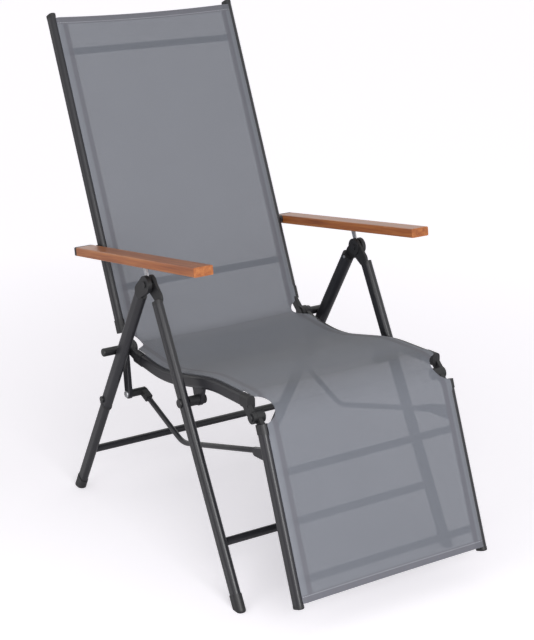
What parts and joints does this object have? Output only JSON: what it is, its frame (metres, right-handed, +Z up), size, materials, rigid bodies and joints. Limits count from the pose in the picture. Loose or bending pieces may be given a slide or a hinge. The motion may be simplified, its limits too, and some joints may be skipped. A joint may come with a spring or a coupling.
{
  "type": "reclining garden armchair",
  "caption": "Folding reclining garden armchair with a continuous mesh sling, a linked footrest, A-frame legs and wood-look armrests.",
  "frame": {"origin": "on the floor, under the middle of the chair's whole outline", "axes": "+Z up; the chair faces -Y; +X is the sitter's left"},
  "size_m": [0.612, 1.0573, 1.1241],
  "materials": {
    "frame": "anthracite powder coat, satin",
    "fittings": "black moulded plastic",
    "steel": "zinc-plated steel",
    "armrest": "orange-brown wood with straight grain, satin",
    "sling": "grey coated-yarn mesh, matt",
    "black_bolts": "black painted bolt heads, satin"
  },
  "bodies": {
    "front_legs": {"front_leg_left": "frame", "front_leg_right": "frame", "front_crossbar": "frame", "front_hinges": "fittings", "front_feet": "fittings", "seat_pivot_bolts": "black_bolts", "top_hinge_pins": "black_bolts"},
    "rear_legs": {"rear_sleeve_left": "frame", "rear_sleeve_right": "frame", "rear_leg_left": "frame", "rear_leg_right": "frame", "rear_crossbar": "frame", "rear_hinges": "fittings", "rear_feet": "fittings", "rear_joint_bolts": "black_bolts", "rear_joint_collars": "fittings", "hinge_rivets": "steel"},
    "catch_links": {"catch_links": "steel"},
    "seat": {"seat_rail_left": "frame", "seat_rail_right": "frame", "seat_brackets": "frame", "seat_spacers": "fittings", "seat_hip_knuckle_left": "fittings", "seat_hip_knuckle_right": "fittings", "seat_knee_knuckles": "fittings", "seat_sling": "sling"},
    "hip_bushes": {"hip_bushes": "fittings", "hip_sling": "sling"},
    "back": {"back_rail_left": "frame", "back_rail_right": "frame", "back_upper_crossbar": "frame", "back_lower_crossbar": "frame", "back_hip_knuckle_left": "fittings", "back_hip_knuckle_right": "fittings", "back_end_caps": "fittings", "back_sling": "sling"},
    "arm_pivots": {"arm_pivot_bolts": "steel"},
    "arms": {"armrest_left": "armrest", "armrest_right": "armrest", "arm_end_caps": "fittings", "notch_racks": "fittings"},
    "knee_pins": {"knee_pins": "steel", "knee_sling": "sling"},
    "footrest": {"footrest_rail_left": "frame", "footrest_rail_right": "frame", "footrest_upper_crossbar": "frame", "footrest_lower_crossbar": "frame", "footrest_knuckles": "fittings", "footrest_end_caps": "fittings", "rod_brackets": "frame", "footrest_sling": "sling"},
    "levers": {"stub_axles": "black_bolts", "recline_lever_left": "frame", "recline_lever_right": "frame"},
    "lever_rivets": {"lever_rivets": "steel"},
    "rods": {"link_rod_left": "frame", "link_rod_right": "frame", "rod_forks": "fittings"}
  },
  "joints": [
    {"name": "rear_leg_fold", "type": "hinge", "parent": "front_legs", "child": "rear_legs", "pos_m": [0, 0.00554, 0.611], "axis": [-1, 0, 0], "range_deg": [0, 56]},
    {"name": "catch_link_fold", "type": "hinge", "parent": "front_legs", "child": "catch_links", "pos_m": [0, 0.00554, 0.611], "axis": [-1, 0, 0], "range_deg": [0, 112]},
    {"name": "seat_fold", "type": "hinge", "parent": "front_legs", "child": "seat", "pos_m": [0, -0.13746, 0.388], "axis": [-1, 0, 0], "range_deg": [0, 106]},
    {"name": "hip_fold", "type": "hinge", "parent": "seat", "child": "hip_bushes", "pos_m": [0, 0.16954, 0.413], "axis": [1, 0, 0], "range_deg": [0, 100], "deforming": ["hip_sling"]},
    {"name": "back_recline", "type": "hinge", "parent": "hip_bushes", "child": "back", "pos_m": [0, 0.16954, 0.413], "axis": [-1, 0, 0], "range_deg": [0, 40], "deforming": ["hip_sling"]},
    {"name": "armrest_fold", "type": "hinge", "parent": "back", "child": "arm_pivots", "pos_m": [0, 0.28954, 0.617], "axis": [-1, 0, 0], "range_deg": [0, 106]},
    {"name": "armrest_follow", "type": "hinge", "parent": "arm_pivots", "child": "arms", "pos_m": [0, 0.28954, 0.617], "axis": [1, 0, 0], "range_deg": [0, 24.6]},
    {"name": "knee_fold", "type": "hinge", "parent": "seat", "child": "knee_pins", "pos_m": [0, -0.35346, 0.42], "axis": [-1, 0, 0], "range_deg": [0, 24.4], "deforming": ["knee_sling"]},
    {"name": "footrest_raise", "type": "hinge", "parent": "knee_pins", "child": "footrest", "pos_m": [0, -0.35346, 0.42], "axis": [-1, 0, 0], "range_deg": [0, 48.8], "deforming": ["knee_sling"]},
    {"name": "lever_fold", "type": "hinge", "parent": "back", "child": "levers", "pos_m": [0, 0.16954, 0.413], "axis": [-1, 0, 0], "range_deg": [0, 120]},
    {"name": "rod_fold", "type": "hinge", "parent": "levers", "child": "lever_rivets", "pos_m": [0, 0.15754, 0.307], "axis": [1, 0, 0], "range_deg": [0, 20.9]},
    {"name": "rod_recline", "type": "hinge", "parent": "lever_rivets", "child": "rods", "pos_m": [0, 0.15754, 0.307], "axis": [1, 0, 0], "range_deg": [0, 41.7]}
  ],
  "couplings": [
    {"joint": "catch_link_fold", "follows": "rear_leg_fold", "ratio": 2},
    {"joint": "seat_fold", "follows": "rear_leg_fold", "ratio": 1.8928},
    {"joint": "hip_fold", "follows": "rear_leg_fold", "ratio": 1.7857},
    {"joint": "armrest_fold", "follows": "rear_leg_fold", "ratio": 1.8928},
    {"joint": "knee_fold", "follows": "rear_leg_fold", "ratio": 0.4357},
    {"joint": "lever_fold", "follows": "rear_leg_fold", "ratio": 2.1428},
    {"joint": "rod_fold", "follows": "rear_leg_fold", "ratio": 0.3732},
    {"joint": "armrest_follow", "follows": "back_recline", "ratio": 0.615},
    {"joint": "footrest_raise", "follows": "back_recline", "ratio": 1.22},
    {"joint": "rod_recline", "follows": "back_recline", "ratio": 1.0425}
  ]
}
